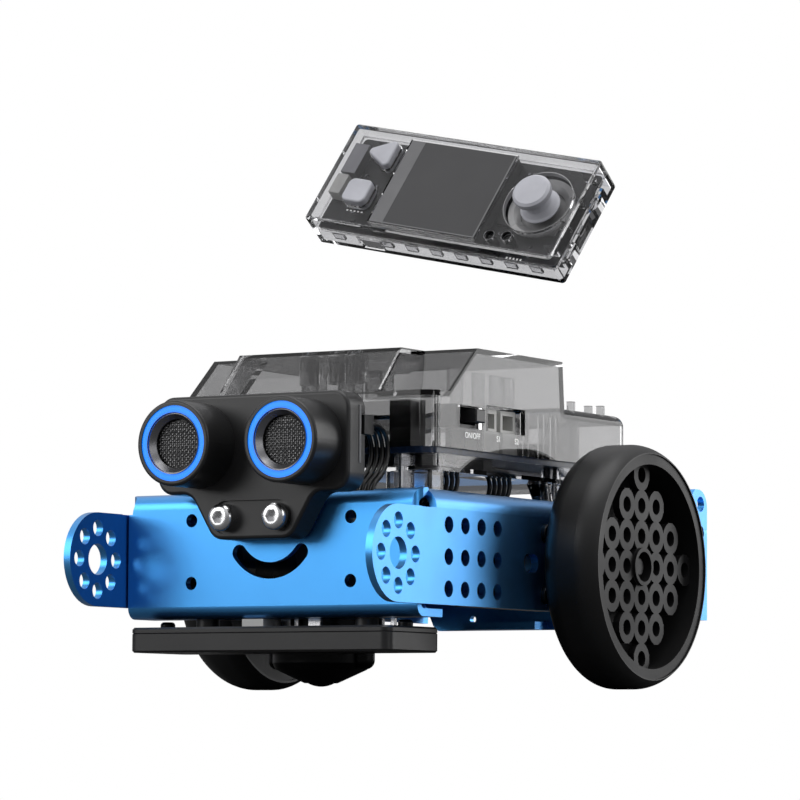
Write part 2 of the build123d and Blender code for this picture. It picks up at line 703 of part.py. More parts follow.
def switch_slider():
    knob = block(35.8, 42.0, -31.5, -26.9, 67.1, 70.5)
    return chamfer(knob.faces().sort_by(Axis.X)[-1].edges(), 0.3)


def port_sockets():
    """Two servo ports behind the side opening."""
    ports = []
    for y0 in (-22.8, -13.3):
        port = block(30.0, 38.4, y0, y0 + 7.5, BOARD_TOP, 71.4)
        port -= block(32.0, 40.0, y0 + 1.1, y0 + 6.4, 66.4, 70.2)
        ports.append(port)
    return ports


def corner_connector():
    """Tall dark header in the front right corner of the board."""
    body = block(26.2, 32.4, -47.5, -41.4, BOARD_TOP, 72.2)
    return body - block(27.2, 31.4, -46.5, -42.4, 68.0, 73.0)


def usb_socket():
    body = block(-5.0, 5.0, 43.5, 50.3, BOARD_TOP, 63.4)
    return fillet(body.edges().filter_by(Axis.Y), 1.3)


def dock_contacts():
    """Spring contact block under the deck that meets the hand controller."""
    return block(-8.0, 8.0, 36.0, 42.0, BOARD_TOP, DECK_Z - WALL)


def cable_socket(x0, x1, y0, y1):
    return block(x0, x1, y0, y1, 54.8, BOARD_BOTTOM)


# ---- wire bundles: straight runs joined by tangent arcs ----
SENSOR_ROUTE = [(-59.5, 64.9), (-54.9, 65.1), (-51.7, 61.4), (-51.8, 56.2), (-54.8, 52.4),
                (-58.2, 50.4), (-59.4, 46.4), (-58.4, 42.0)]
MOTOR_ROUTE = [(-16.0, 56.4), (-5.85, 56.4), (-3.6, 52.5), (-5.85, 48.6), (-13.5, 48.3),
               (-19.0, 45.4), (-27.0, 44.0), (-35.3, 44.2)]
BAR_ROUTE = [(-38.0, 56.4), (-30.95, 56.4), (-28.7, 52.5), (-30.95, 48.6), (-38.3, 48.3),
             (-42.8, 45.6), (-45.3, 40.6), (-46.8, 33.0), (-50.6, 24.2)]
SENSOR_WIRE_X = [23.3, 24.9, 26.5, 28.1]
MOTOR_WIRE_X = [29.9, 31.4, 32.9, 34.4, 35.9]
BAR_WIRE_X = [30.3, 31.9, 33.5, 35.1]


def corner_radii(points):
    """Each arc as large as its two runs allow."""
    radii = []
    for a, b, c in zip(points, points[1:], points[2:]):
        turn = (b - a).get_angle(c - b)
        run = min((b - a).length, (c - b).length)
        radii.append(0.45 * run / math.tan(math.radians(turn) / 2))
    return radii


def wire(x, route):
    points = [Vector(x, y, z) for y, z in route]
    radii = corner_radii(points)
    path = FilletPolyline(*points, radius=radii)
    start = Plane(origin=points[0], z_dir=points[1] - points[0])
    tube = sweep(start * Circle(WIRE_R), path=path)
    share = tube.volume / (math.pi * WIRE_R ** 2 * path.length)
    print(f"wire x {x}: length {path.length:.1f} mm, least radius {min(radii):.2f}, volume share {share:.3f}")
    return tube


# ---- hand controller, drawn docked on the rear deck ----
PAD_X, PAD_Y, PAD_Z = DOCK_CENTRE
PAD_LOW = PAD_Z - PAD_T / 2
PAD_TOP = PAD_Z + PAD_T / 2
PAD_SPLIT = PAD_Z + 0.6
PAD_BOARD_TOP = PAD_Z + 0.4
SCREEN = (-19.6, 14.4, -14.0, 13.6)
SQUARE_XY = (-27.0, -6.0)
TRIANGLE_XY = (-25.6, 7.3)
STICK_XY = (27.8, 0.2)
PAD_SENSOR_XY = [(18.6, -12.3), (23.8, -11.7)]


def lifted(shape):
    """Turn a docked piece to where the controller floats at rest."""
    return shape.rotate(Axis(LIFT_PIVOT, LIFT_AXIS), LIFT_ANGLE)


def pad_block(inset, z0, z1, r):
    lx, ly = PAD_L / 2 - inset, PAD_W / 2 - inset
    return rounded_block(-lx, lx, PAD_Y - ly, PAD_Y + ly, z0, z1, r)


def pad_zone(x0, x1, y0, y1, z0, z1):
    """A block given in controller coordinates, from its centre."""
    return block(x0, x1, PAD_Y + y0, PAD_Y + y1, PAD_Z + z0, PAD_Z + z1)


def pad_back_case():
    case = pad_block(0, PAD_LOW, PAD_SPLIT, 0.9)
    case = chamfer(case.faces().sort_by(Axis.Z)[0].edges(), 0.6)
    case -= pad_block(PAD_WALL, PAD_LOW + PAD_WALL, PAD_SPLIT + 1, 0.5)
    for s in (-1, 1):
        a, b = sorted((s * 31.0, s * 38.8))
        case += block(a, b, 22.0, 46.6, PAD_LOW + 1.0, PAD_LOW + 4.4)
        case -= rod_z(2.6, s * PEG_XY[0][0], PEG_XY[0][1], PAD_LOW - 1, PAD_LOW + 3.1)
        for x, y in PEG_XY[1:]:
            case -= rod_z(2.6, s * x, y, PAD_LOW - 1, PAD_LOW + 3.1)
    case -= pad_zone(-24.4, -17.4, -20, -14, -4.45, -0.5)
    return case


def pad_front_case():
    case = pad_block(0, PAD_SPLIT, PAD_TOP, 0.9)
    case = chamfer(case.faces().sort_by(Axis.Z)[-1].edges(), 0.6)
    case -= pad_block(PAD_WALL, PAD_SPLIT - 1, PAD_TOP - PAD_WALL, 0.5)
    x0, x1, y0, y1 = SCREEN
    case -= pad_zone(x0 - 0.3, x1 + 0.3, y0 - 0.3, y1 + 0.3, 0, 8)
    case -= square_button(0.3, -3, 4)
    case -= triangle_button(0.3, -3, 4)
    case -= rod_z(10.0, STICK_XY[0], PAD_Y + STICK_XY[1], PAD_Z, PAD_TOP + 2)
    for x, y in PAD_SENSOR_XY:
        case -= rod_z(1.6, x, PAD_Y + y, PAD_Z + 2, PAD_TOP + 1)
    return case


def square_button(grow, z0, z1):
    """Rounded square key; z from the controller's face."""
    size = 7.6 + 2 * grow
    face = Pos(SQUARE_XY[0], PAD_Y + SQUARE_XY[1]) * RectangleRounded(size, size, 1.9 + grow)
    return prism_z(face, PAD_TOP + z0, PAD_TOP + z1)


def triangle_button(grow, z0, z1):
    """Rounded triangle key that points to the controller's left end."""
    x, y = TRIANGLE_XY
    points = [(x - 5.6, y), (x + 3.6, y + 5.0), (x + 3.6, y - 5.0)]
    face = fillet(outline(points).vertices(), 1.3)
    if grow:
        face = offset(face, amount=grow)
    return prism_z(Pos(0, PAD_Y) * face, PAD_TOP + z0, PAD_TOP + z1)


def pad_button(shape):
    key = shape(0, -2.6, 1.7)
    return fillet(key.faces().sort_by(Axis.Z)[-1].edges(), 0.6)


def pad_board():
    board = pad_block(PAD_WALL + 0.3, PAD_Z - 0.8, PAD_BOARD_TOP, 1.2)
    return board


def pad_screen():
    x0, x1, y0, y1 = SCREEN
    return pad_zone(x0, x1, y0, y1, 0.4, PAD_T / 2 - 0.15)


def pad_usb_socket():
    body = pad_zone(-24.2, -17.6, -PAD_W / 2 + 0.4, -10.0, -4.3, -0.8)
    return fillet(body.edges().filter_by(Axis.Y), 1.2)


def pad_module():
    """Radio module on the controller's left end."""
    return pad_zone(-37.8, -33.2, 1.2, 11.0, 0.4, 3.6)


def pad_key_switches():
    """The two tact switches under the square and triangle keys."""
    pair = []
    for x, y in (SQUARE_XY, TRIANGLE_XY):
        pair.append(pad_zone(x - 2.2, x + 2.2, y - 2.2, y + 2.2, 0.4, 2.0))
    return pair


def pad_sensor(x, y):
    """Small round light sensor behind its opening."""
    body = rod_z(1.4, x, PAD_Y + y, PAD_BOARD_TOP, PAD_TOP - 0.9)
    return fillet(body.edges().sort_by(Axis.Z)[-1], 1.0)


def pad_stick_base():
    """Square foot under a wide dished ring that surrounds the thumb cap."""
    x, y = STICK_XY
    base = pad_zone(x - 6.6, x + 6.6, y - 6.6, y + 6.6, 0.4, 0.9)
    profile = [(8.0, 0.9), (6.4, 0.9), (6.4, 1.9), (8.0, 3.1), (9.4, 3.4), (9.6, 3.0), (9.6, 2.6), (8.2, 2.4)]
    dish = Pos(x, PAD_Y + y, PAD_Z) * revolve(Plane.XZ * outline(profile), Axis.Z, 360)
    foot = rod_z(8.0, x, PAD_Y + y, PAD_Z + 0.4, PAD_Z + 0.9)
    return base + dish + foot


def stick_centre():
    return (STICK_XY[0], PAD_Y + STICK_XY[1], PAD_Z + 3.0)


def pad_stick_gimbal():
    """Flat ring that rocks about the controller's long axis."""
    x, y, z = stick_centre()
    ring = rod_z(3.9, x, y, z - 0.4, z + 0.4)
    return ring - rod_z(2.95, x, y, z - 1, z + 1)


def pad_stick_cap():
    """Thumb cap on a waisted stem with a short bell skirt."""
    x, y, z = stick_centre()
    profile = [
        (0, 8.2), (4.6, 8.2), (5.3, 7.7), (5.4, 6.9), (5.3, 6.2), (4.6, 5.6), (3.5, 5.0), (3.4, 4.0),
        (3.9, 2.8), (5.0, 1.6), (5.6, 1.2), (5.6, 0.9), (4.4, 1.2), (2.6, 1.6), (2.6, -0.6), (0, -0.6),
    ]
    return Pos(x, y, z) * revolve(Plane.XZ * outline(profile), Axis.Z, 360)


# ---- build every node ----
def build_chassis_nodes():
    save("chassis_plate", chassis_plate())
    save("sensor_front_shell", sensor_front_shell())
    save("sensor_rear_shell", sensor_rear_shell())
    save("sensor_board", sensor_board())
    save("sensor_light_rings", [sensor_light_ring(x) for x in (-EYE_X, EYE_X)])
    save("sensor_transducers", [sensor_transducer(x) for x in (-EYE_X, EYE_X)])
    save("sensor_meshes", [sensor_mesh(x) for x in (-EYE_X, EYE_X)])
    save("sensor_bolts", [sensor_bolt(x) for x in (-BOLT_X, BOLT_X)])
    save("sensor_nuts", [sensor_nut(x) for x in (-BOLT_X, BOLT_X)])
    save("line_sensor_base", line_sensor_base())
    save("line_sensor_cover", line_sensor_cover())
    save("line_sensor_board", line_sensor_board())
    save("line_sensor_lenses", [line_sensor_lens(i) for i in range(4)])
    save("line_sensor_connector", line_sensor_connector())
    screw_x = (-BAR_SCREW[0], BAR_SCREW[0])
    save("line_sensor_screws", [bar_screw(x) for x in screw_x])
    save("line_sensor_spacers", [bar_spacer(x) for x in screw_x])
    case_x = (-BAR_CASE_SCREW[0], BAR_CASE_SCREW[0])
    save("line_sensor_case_screws", [bar_case_screw(x) for x in case_x])
    save("caster_housing", caster_housing())
    save("caster_ball", caster_ball())
    save("caster_screws", [caster_screw(x) for x in (-CASTER_SCREW_X, CASTER_SCREW_X)])


def build_drive_nodes():
    gearbox, can, encoder = motor_gearbox(), motor_can(), motor_encoder()
    rim, tyre, shaft, screw = wheel_rim(), wheel_tyre(), drive_shaft(), hub_screw()
    for side, place in (("left", lambda s: s), ("right", mirror_x)):
        save(f"wheel_rim_{side}", place(rim))
        save(f"wheel_tyre_{side}", place(tyre))
        save(f"drive_shaft_{side}", place(shaft))
        save(f"hub_screw_{side}", place(screw))
    save("motor_gearboxes", both_sides(gearbox))
    save("motor_cans", both_sides(can))
    save("motor_encoders", both_sides(encoder))
    save("motor_screws", [s for z in (24.0, 40.0) for s in both_sides(motor_screw(z))])


def build_shell_nodes():
    save("shell_cover", shell_cover())
    save("shell_base", shell_base())
    save("main_board", main_board())
    save("shell_screws", [shell_screw(x, y) for x, y in COLUMN_XY])
    save("battery_cell", battery_cell())
    save("speaker", speaker())
    save("switch_body", switch_body())
    save("switch_slider", switch_slider())
    save("port_sockets", port_sockets())
    save("corner_connector", corner_connector())
    save("board_connectors", [usb_socket(), dock_contacts()])
    motor_socket = cable_socket(28.9, 36.9, -20.5, -16.05)
    sockets = both_sides(motor_socket) + [cable_socket(29.3, 36.1, -42.5, -38.05)]
    sockets.append(block(22.3, 29.1, -60.5, -56.2, 34.0, 41.7))
    sockets.append(block(29.3, 36.1, -53.5, -49.2, FLANGE_BOTTOM + SHEET, 23.8))
    sockets.append(sensor_socket())
    save("cable_sockets", sockets)
    save("sensor_wires", [wire(x, SENSOR_ROUTE) for x in SENSOR_WIRE_X])
    save("line_sensor_wires", [wire(x, BAR_ROUTE) for x in BAR_WIRE_X])
    save("motor_wires", [wire(s * x, MOTOR_ROUTE) for s in (1, -1) for x in MOTOR_WIRE_X])


def build_pad_nodes():
    pieces = {
        "pad_front_case": pad_front_case(),
        "pad_back_case": pad_back_case(),
        "pad_board": pad_board(),
        "pad_screen": pad_screen(),
        "pad_usb_socket": pad_usb_socket(),
        "pad_module": pad_module(),
        "pad_stick_base": pad_stick_base(),
        "pad_stick_gimbal": pad_stick_gimbal(),
        "pad_stick_cap": pad_stick_cap(),
        "pad_button_square": pad_button(square_button),
        "pad_button_triangle": pad_button(triangle_button),
    }
    for name, piece in pieces.items():
        save(name, lifted(piece))
    save("pad_key_switches", [lifted(s) for s in pad_key_switches()])
    save("pad_light_sensors", [lifted(pad_sensor(x, y)) for x, y in PAD_SENSOR_XY])


build_chassis_nodes()
build_drive_nodes()
build_shell_nodes()
build_pad_nodes()
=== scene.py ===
import json
import math
import random

import bmesh
import bpy
from mathutils import Matrix, Vector


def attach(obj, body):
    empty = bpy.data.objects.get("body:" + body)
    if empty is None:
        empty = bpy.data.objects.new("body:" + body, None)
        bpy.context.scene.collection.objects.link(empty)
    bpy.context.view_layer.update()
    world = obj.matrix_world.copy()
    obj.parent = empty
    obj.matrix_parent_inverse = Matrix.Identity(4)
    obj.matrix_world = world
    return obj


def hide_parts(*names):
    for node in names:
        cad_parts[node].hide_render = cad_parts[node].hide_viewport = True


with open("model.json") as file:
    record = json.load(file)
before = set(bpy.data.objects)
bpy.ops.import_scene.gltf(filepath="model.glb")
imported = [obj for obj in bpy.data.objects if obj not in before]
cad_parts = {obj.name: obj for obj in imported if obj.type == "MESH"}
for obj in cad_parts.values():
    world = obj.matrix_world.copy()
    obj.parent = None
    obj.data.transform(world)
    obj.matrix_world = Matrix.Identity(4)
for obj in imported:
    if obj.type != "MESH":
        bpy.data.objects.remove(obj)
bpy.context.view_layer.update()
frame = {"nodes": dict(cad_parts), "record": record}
nodes = frame["nodes"]
random.seed(7)
MM = 0.001
EYE_X, EYE_Z = 16.0, 60.3         # the two sensor eyes stand at +-EYE_X, in mm
EYE_RING_RADIUS = 10.0            # outer radius of the lit ring, in mm

# ---------------------------------------------------------------- materials
WANDER_DETAIL = 4.0               # noise detail where colour and gloss wander
GRAIN_DETAIL = 2.0                # noise detail of a surface's fine grain
NOISE_ROUGHNESS = 0.6
LOW_STOP, HIGH_STOP = 0.3, 0.7    # noise levels that give a ramp's two ends
CLEAR_ROUGHNESS = 0.015
CLEAR_INDEX = 1.38                # lower than real, so that thin walls bend the view little


class Shader:
    """One Principled material, with helpers for its procedural detail."""

    def __init__(self, name, color, rough, metal=0.0, **sockets):
        self.mat = bpy.data.materials.new(name)
        self.mat.use_nodes = True
        self.tree = self.mat.node_tree
        self.bsdf = self.tree.nodes["Principled BSDF"]
        self.set("Base Color", (*color, 1.0))
        self.set("Roughness", rough)
        self.set("Metallic", metal)
        for key, value in sockets.items():
            self.set(key.replace("_", " "), value)
        coords = self.add("ShaderNodeTexCoord")
        self.at = coords.outputs["Object"]
        self.height = None

    def add(self, kind, **settings):
        node = self.tree.nodes.new(kind)
        for key, value in settings.items():
            setattr(node, key, value)
        return node

    def set(self, socket, value):
        self.bsdf.inputs[socket].default_value = value

    def link(self, a, b):
        self.tree.links.new(a, b)

    def noise(self, scale, detail):
        node = self.add("ShaderNodeTexNoise")
        node.inputs["Scale"].default_value = scale
        node.inputs["Detail"].default_value = detail
        node.inputs["Roughness"].default_value = NOISE_ROUGHNESS
        self.link(self.at, node.inputs["Vector"])
        return node.outputs["Fac"]

    def ramp(self, fac, stops):
        """A colour ramp from (position, colour) stops."""
        node = self.add("ShaderNodeValToRGB")
        while len(node.color_ramp.elements) < len(stops):
            node.color_ramp.elements.new(0.5)
        for element, (place, color) in zip(node.color_ramp.elements, stops):
            element.position = place
            element.color = (*color, 1.0)
        self.link(fac, node.inputs["Fac"])
        return node.outputs["Color"]

    def math(self, operation, a, b=None):
        """One maths step; a and b are outputs or numbers."""
        node = self.add("ShaderNodeMath", operation=operation)
        for socket, value in zip(node.inputs, (a, b)):
            if isinstance(value, (int, float)):
                socket.default_value = value
            elif value is not None:
                self.link(value, socket)
        return node.outputs[0]

    def wander(self, socket, scale, low, high):
        """Drive a socket with slow noise between two colours."""
        fac = self.noise(scale, WANDER_DETAIL)
        self.link(self.ramp(fac, [(LOW_STOP, low), (HIGH_STOP, high)]), self.bsdf.inputs[socket])
        return self

    def tint(self, scale, low, high):
        """Base colour that wanders between two tones."""
        return self.wander("Base Color", scale, low, high)

    def gloss(self, scale, low, high):
        """Roughness that wanders between two values, as handling leaves it."""
        return self.wander("Roughness", scale, (low,) * 3, (high,) * 3)

    def bump(self, fac, distance, strength):
        """One layer of relief, laid over any that the material has already."""
        node = self.add("ShaderNodeBump")
        node.inputs["Distance"].default_value = distance
        node.inputs["Strength"].default_value = strength
        self.link(fac, node.inputs["Height"])
        if self.height is not None:
            self.link(self.height, node.inputs["Normal"])
        self.height = node.outputs["Normal"]
        self.link(self.height, self.bsdf.inputs["Normal"])
        return self

    def grain(self, scale, distance, strength):
        """Fine relief over the whole surface."""
        return self.bump(self.noise(scale, GRAIN_DETAIL), distance, strength)


def moulded(name, color, rough, grain=2600, depth=0.00003, strength=0.35, shine=0.5):
    """Moulded plastic: fine spark-eroded grain and slight handling gloss."""
    s = Shader(name, color, rough, Specular_IOR_Level=shine)
    s.tint(60, tuple(0.85 * c for c in color), tuple(1.15 * c for c in color))
    s.gloss(35, rough - 0.05, rough + 0.07)
    return s.grain(grain, depth, strength)


def machined(name, color, rough):
    """Bare or plated metal with fine tool marks and uneven gloss."""
    s = Shader(name, color, rough, 1.0)
    s.gloss(220, rough - 0.06, rough + 0.08)
    return s.grain(1800, 0.00001, 0.3)


def clear_plastic(name, color):
    """See-through plastic with the faint waves of a moulded sheet."""
    s = Shader(name, color, CLEAR_ROUGHNESS, IOR=CLEAR_INDEX, Transmission_Weight=1.0,
               Specular_IOR_Level=0.22)
    return s.grain(12, 0.0004, 0.06)


def anodised(name, low, high):
    """Blue anodised sheet: bead-blasted grain under a thin clear oxide coat."""
    s = Shader(name, low, 0.34, 1.0)
    s.set("Coat Weight", 1.0)
    s.set("Coat Roughness", 0.36)
    s.set("Coat IOR", 1.7)
    s.tint(28, low, high)
    s.gloss(50, 0.29, 0.37)
    return s.grain(5200, 0.00003, 0.35)


def light_ring():
    """Lit blue ring: its glow is brighter in the middle, with painted shade darkening its inner edge and,
    less, its outer edge.
    """
    s = Shader("blue_light_ring", (0.01, 0.12, 0.8), 0.3)
    s.set("Emission Strength", 0.8)
    s.tint(500, (0.004, 0.08, 0.75), (0.008, 0.11, 0.85))
    split = s.add("ShaderNodeSeparateXYZ")
    s.link(s.at, split.inputs[0])
    aside = s.math("SUBTRACT", s.math("ABSOLUTE", split.outputs["X"]), EYE_X * MM)
    above = s.math("SUBTRACT", split.outputs["Z"], EYE_Z * MM)
    square = s.math("ADD", s.math("MULTIPLY", aside, aside), s.math("MULTIPLY", above, above))
    out = s.math("DIVIDE", s.math("SQRT", square), EYE_RING_RADIUS * MM)
    # painted shade: the emission colour falls off towards the ring's inner edge and, less, towards its
    # outer edge
    stops = [(0.765, (0.0, 0.12, 0.7)), (0.80, (0.0, 0.25, 1.0)),
             (0.87, (0.0, 0.34, 1.0)), (0.95, (0.0, 0.24, 0.95))]
    s.link(s.ramp(out, stops), s.bsdf.inputs["Emission Color"])
    return s.grain(900, 0.00001, 0.2)


def board_shader(name, low, high):
    """Solder mask with slightly raised copper areas under it."""
    s = Shader(name, low, 0.28)
    cells = s.add("ShaderNodeTexVoronoi", feature="DISTANCE_TO_EDGE")
    cells.inputs["Scale"].default_value = 420
    s.link(s.at, cells.inputs["Vector"])
    lines = s.ramp(cells.outputs["Distance"], [(0.06, high), (0.09, low)])
    s.link(lines, s.bsdf.inputs["Base Color"])
    return s.bump(cells.outputs["Distance"], 0.00003, 0.3)


def screen_shader():
    """Dark display glass with a faint even tone."""
    s = Shader("display_glass", (0.055, 0.055, 0.057), 0.18)
    s.tint(25, (0.05, 0.05, 0.052), (0.06, 0.06, 0.062))
    return s.gloss(30, 0.14, 0.22)


def make_materials():
    """Every material, under its slot name or the name of a finish."""
    m = {}
    m["chassis_blue"] = anodised("anodised_blue", (0.018, 0.345, 0.86), (0.024, 0.375, 0.92))
    m["black_plastic"] = moulded("black_satin_plastic", (0.0175, 0.0175, 0.018), 0.34, 2600, 0.00002, 0.25)
    m["black_gloss"] = moulded("black_gloss_plastic", (0.004, 0.004, 0.0042), 0.14, 900, 0.00001, 0.15, 0.3)
    m["blue_ring"] = light_ring()
    m["silver"] = Shader("bright_steel", (0.86, 0.86, 0.87), 0.24, 1.0).gloss(160, 0.2, 0.29)
    m["mesh_metal"] = machined("mesh_metal", (0.16, 0.16, 0.162), 0.34)
    m["gunmetal"] = machined("dark_anodised_rim", (0.25, 0.25, 0.26), 0.3)
    m["black_steel"] = machined("black_oxide_steel", (0.02, 0.02, 0.021), 0.3)
    m["board_blue"] = board_shader("solder_mask_blue", (0.008, 0.020, 0.05), (0.012, 0.03, 0.075))
    m["board_dark"] = board_shader("solder_mask_dark", (0.008, 0.008, 0.010), (0.016, 0.017, 0.02))
    m["lens_clear"] = clear_plastic("clear_lens", (0.85, 0.9, 0.95))
    m["white_plastic"] = moulded("socket_white", (0.62, 0.62, 0.60), 0.4, 1500)
    m["tyre_rubber"] = moulded("tyre_rubber", (0.0068, 0.0068, 0.007), 0.4, 1400, 0.00003, 0.25, 0.45)
    m["rim_plastic"] = moulded("rim_plastic", (0.0095, 0.0095, 0.0098), 0.42, 2200, 0.00002, 0.25, 0.32)
    m["smoky_clear"] = clear_plastic("smoky_clear_plastic", (0.46, 0.46, 0.463))
    m["pad_clear"] = clear_plastic("clear_case_plastic", (0.78, 0.78, 0.79))
    m["battery_foil"] = Shader("battery_foil", (0.16, 0.16, 0.17), 0.35, 0.8).grain(300, 0.0001, 0.4)
    m["wire_black"] = moulded("wire_insulation", (0.008, 0.008, 0.008), 0.36, 1200)
    m["button_grey"] = moulded("key_grey", (0.50, 0.505, 0.55), 0.42, 2200, 0.00002, 0.25)
    m["screen_dark"] = screen_shader()
    m["module_grey"] = machined("module_can", (0.30, 0.30, 0.32), 0.4)
    m["dish_grey"] = moulded("dish_grey", (0.30, 0.30, 0.305), 0.25, 1800, 0.00001, 0.2, 0.6)
    # painted shade: near-black plastic, darker than the other black plastic, for the caster housing in the
    # shade under the robot
    m["black_with_painted_shade"] = moulded("black_plastic_with_painted_shade", (0.004, 0.004, 0.0042), 0.3, 2200, 0.00001, 0.2, 0.3)
    m["bezel_grey"] = moulded("bezel_grey", (0.15, 0.15, 0.155), 0.35, 2000)
    m["print_with_painted_glow"] = moulded("white_print_with_painted_glow", (0.85, 0.85, 0.84), 0.5, 3000, 0.000005)
    # painted light: white emission makes the print glow a little, though it is no lamp
    m["print_with_painted_glow"].set("Emission Color", (1.0, 1.0, 1.0, 1.0))
    m["print_with_painted_glow"].set("Emission Strength", 0.45)
    return m


materials = make_materials()
# nodes whose look differs from the material of their slot
FINISH = {
    "sensor_transducers": "gunmetal",
    "sensor_meshes": "black_gloss",
    "pad_stick_base": "dish_grey",
    "motor_encoders": "black_gloss",
    # painted shade: the caster housing takes near-black to stand in for the shade it sits in
    "caster_housing": "black_with_painted_shade",
    "shell_base": "pad_clear",
}
slots = {p["node"]: p["material_slot"] for p in frame["record"]["subparts"]}


def dress_nodes():
    """One material for each CAD node."""
    for name, obj in nodes.items():
        obj.data.materials.clear()
        obj.data.materials.append(materials[FINISH.get(name, slots[name])].mat)


# ---------------------------------------------------------------- camera, lights, floor
CAMERA_TURN = 31.615, 4.663, 0.336                   # azimuth, pitch and roll in degrees
CAMERA_PLACE = 0.583697, -0.948626, -0.014287        # metres
CAMERA_LENS = 189.29                                 # mm, on a 36 mm sensor
NEAR_HORIZON = 0.5                                   # sine of the height where the white band ends
FLOOR_REACH = 3.0                                    # metres from the middle to each edge
FLOOR_DROP = 0.0002                                  # metres below z=0, clear of the wheels
FLOOR_SEEN, FLOOR_BOUNCE = 0.82, 0.1                 # grey for the camera, and for bounced light
LIGHT_TARGET = (0, 0, 0.06)
# name, place in metres, width and height in metres, watts
LIGHTS = [
    ("front_card", (-0.75, -1.15, 0.55), (0.9, 0.9), 6.5),
    ("back_card", (1.05, 1.75, 0.5), (1.3, 1.0), 9.5),
    ("top_card", (0.1, -0.1, 1.4), (1.0, 1.0), 7),
    ("right_card", (1.5, -0.35, 0.6), (0.35, 0.9), 3),
]


def make_camera():
    """The photo's view, as fitted to the measured hole centres."""
    az, pitch, roll = (math.radians(a) for a in CAMERA_TURN)
    ahead = Vector((-math.sin(az) * math.cos(pitch), math.cos(az) * math.cos(pitch), math.sin(pitch)))
    right = Vector((math.cos(az), math.sin(az), 0))
    up = right.cross(ahead)
    r = math.cos(roll) * right + math.sin(roll) * up
    u = -math.sin(roll) * right + math.cos(roll) * up
    data = bpy.data.cameras.new("camera")
    data.lens = CAMERA_LENS
    data.sensor_width = 36
    data.clip_end = 20
    cam = bpy.data.objects.new("camera", data)
    turn = Matrix((r, u, -ahead)).transposed().to_4x4()
    cam.matrix_world = Matrix.Translation(CAMERA_PLACE) @ turn
    bpy.context.scene.collection.objects.link(cam)
    bpy.context.scene.camera = cam


def make_world():
    """White to the camera and to rays that pass level through clear parts, dim to the others.

    The dim surround lets the light cards shape the object's surfaces."""
    world = bpy.data.worlds.new("studio")
    bpy.context.scene.world = world
    world.use_nodes = True
    tree = world.node_tree
    tree.nodes.clear()
    add, link = tree.nodes.new, tree.links.new
    coords = add("ShaderNodeTexCoord")
    split = add("ShaderNodeSeparateXYZ")
    spread = add("ShaderNodeMapRange")
    spread.inputs["From Min"].default_value = -1
    ramp = add("ShaderNodeValToRGB")
    ramp.color_ramp.elements[0].position = 0.45
    ramp.color_ramp.elements[0].color = (0.10, 0.10, 0.11, 1)
    ramp.color_ramp.elements[1].position = 1.0
    ramp.color_ramp.elements[1].color = (0.85, 0.85, 0.86, 1)
    middle = ramp.color_ramp.elements.new(0.6)
    middle.color = (0.26, 0.26, 0.27, 1)
    lit, plain = add("ShaderNodeBackground"), add("ShaderNodeBackground")
    plain.inputs["Color"].default_value = (1, 1, 1, 1)
    path, mix = add("ShaderNodeLightPath"), add("ShaderNodeMixShader")
    band, level = add("ShaderNodeMath"), add("ShaderNodeMath")
    level.operation = "ABSOLUTE"
    band.operation = "LESS_THAN"
    band.inputs[1].default_value = NEAR_HORIZON
    through, seen = add("ShaderNodeMath"), add("ShaderNodeMath")
    through.operation = "MULTIPLY"
    seen.operation = "MAXIMUM"
    link(coords.outputs["Generated"], split.inputs[0])
    link(split.outputs["Z"], spread.inputs["Value"])
    link(split.outputs["Z"], level.inputs[0])
    link(level.outputs[0], band.inputs[0])
    link(path.outputs["Is Transmission Ray"], through.inputs[0])
    link(band.outputs[0], through.inputs[1])
    link(through.outputs[0], seen.inputs[0])
    link(path.outputs["Is Camera Ray"], seen.inputs[1])
    link(spread.outputs["Result"], ramp.inputs["Fac"])
    link(ramp.outputs["Color"], lit.inputs["Color"])
    link(seen.outputs[0], mix.inputs["Fac"])
    link(lit.outputs[0], mix.inputs[1])
    link(plain.outputs[0], mix.inputs[2])
    link(mix.outputs[0], add("ShaderNodeOutputWorld").inputs["Surface"])
    bpy.context.scene.view_settings.view_transform = "Standard"


def area_light(name, place, size, power):
    """A rectangular card of light that faces the object."""
    data = bpy.data.lights.new(name, "AREA")
    data.shape = "RECTANGLE"
    data.size, data.size_y = size
    data.energy = power
    lamp = bpy.data.objects.new(name, data)
    lamp.location = place
    lamp.rotation_euler = (Vector(LIGHT_TARGET) - Vector(place)).to_track_quat("-Z", "Y").to_euler()
    bpy.context.scene.collection.objects.link(lamp)


